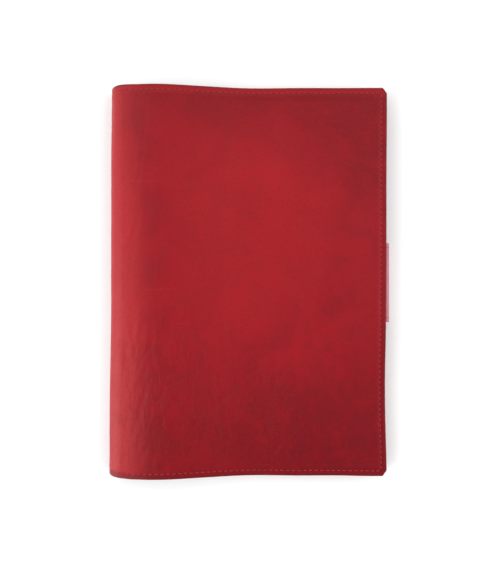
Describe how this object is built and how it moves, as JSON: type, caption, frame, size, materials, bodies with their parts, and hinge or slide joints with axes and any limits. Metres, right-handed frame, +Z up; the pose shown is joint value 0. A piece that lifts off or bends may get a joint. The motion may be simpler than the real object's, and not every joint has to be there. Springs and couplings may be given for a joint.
{
  "type": "notebook cover",
  "caption": "Wrap-around leather cover for an A5 notebook, closed and empty, with inner pockets, perimeter stitching, a flexing spine and a folded pen loop.",
  "frame": {"origin": "under the middle of the closed cover, on the surface that it rests on", "axes": "+Z up through the cover's thickness, +Y to its head, +X to the fore-edge; the spine is at -X"},
  "size_m": [0.163, 0.222, 0.0146],
  "materials": {
    "cover_leather": "waxed smooth leather, semi-gloss, mottled deep red",
    "pocket_leather": "matt smooth leather, deep red",
    "lining_fabric": "fine woven lining, dark red",
    "thread": "waxed thread, lighter red",
    "loop_leather": "thin glossy leather, pinkish red"
  },
  "bodies": {
    "back_cover": {"back_panel": "cover_leather", "back_lining": "lining_fabric", "back_pocket": "pocket_leather", "back_stitching": "thread", "back_pocket_hem_stitching": "thread", "pen_loop_root": "loop_leather"},
    "spine": {"spine_panel": "cover_leather", "spine_lining": "lining_fabric", "spine_stitching": "thread"},
    "front_cover": {"front_panel": "cover_leather", "front_lining": "lining_fabric", "front_pocket": "pocket_leather", "front_stitching": "thread", "front_pocket_hem_stitching": "thread"},
    "pen_loop": {"pen_loop": "loop_leather", "pen_loop_stitching": "thread"}
  },
  "joints": [
    {"name": "back_fold", "type": "hinge", "parent": "back_cover", "child": "spine", "pos_m": [-0.08083, 0, 0.00217], "axis": [0, -1, 0], "range_deg": [0, 95]},
    {"name": "front_fold", "type": "hinge", "parent": "spine", "child": "front_cover", "pos_m": [-0.07742, 0, 0.01083], "axis": [0, -1, 0], "range_deg": [0, 87]},
    {"name": "loop_fold", "type": "hinge", "parent": "back_cover", "child": "pen_loop", "pos_m": [0.0815, 0, 0.00367], "axis": [0, 1, 0], "range_deg": [0, 178], "deforming": ["pen_loop", "pen_loop_stitching"]}
  ]
}
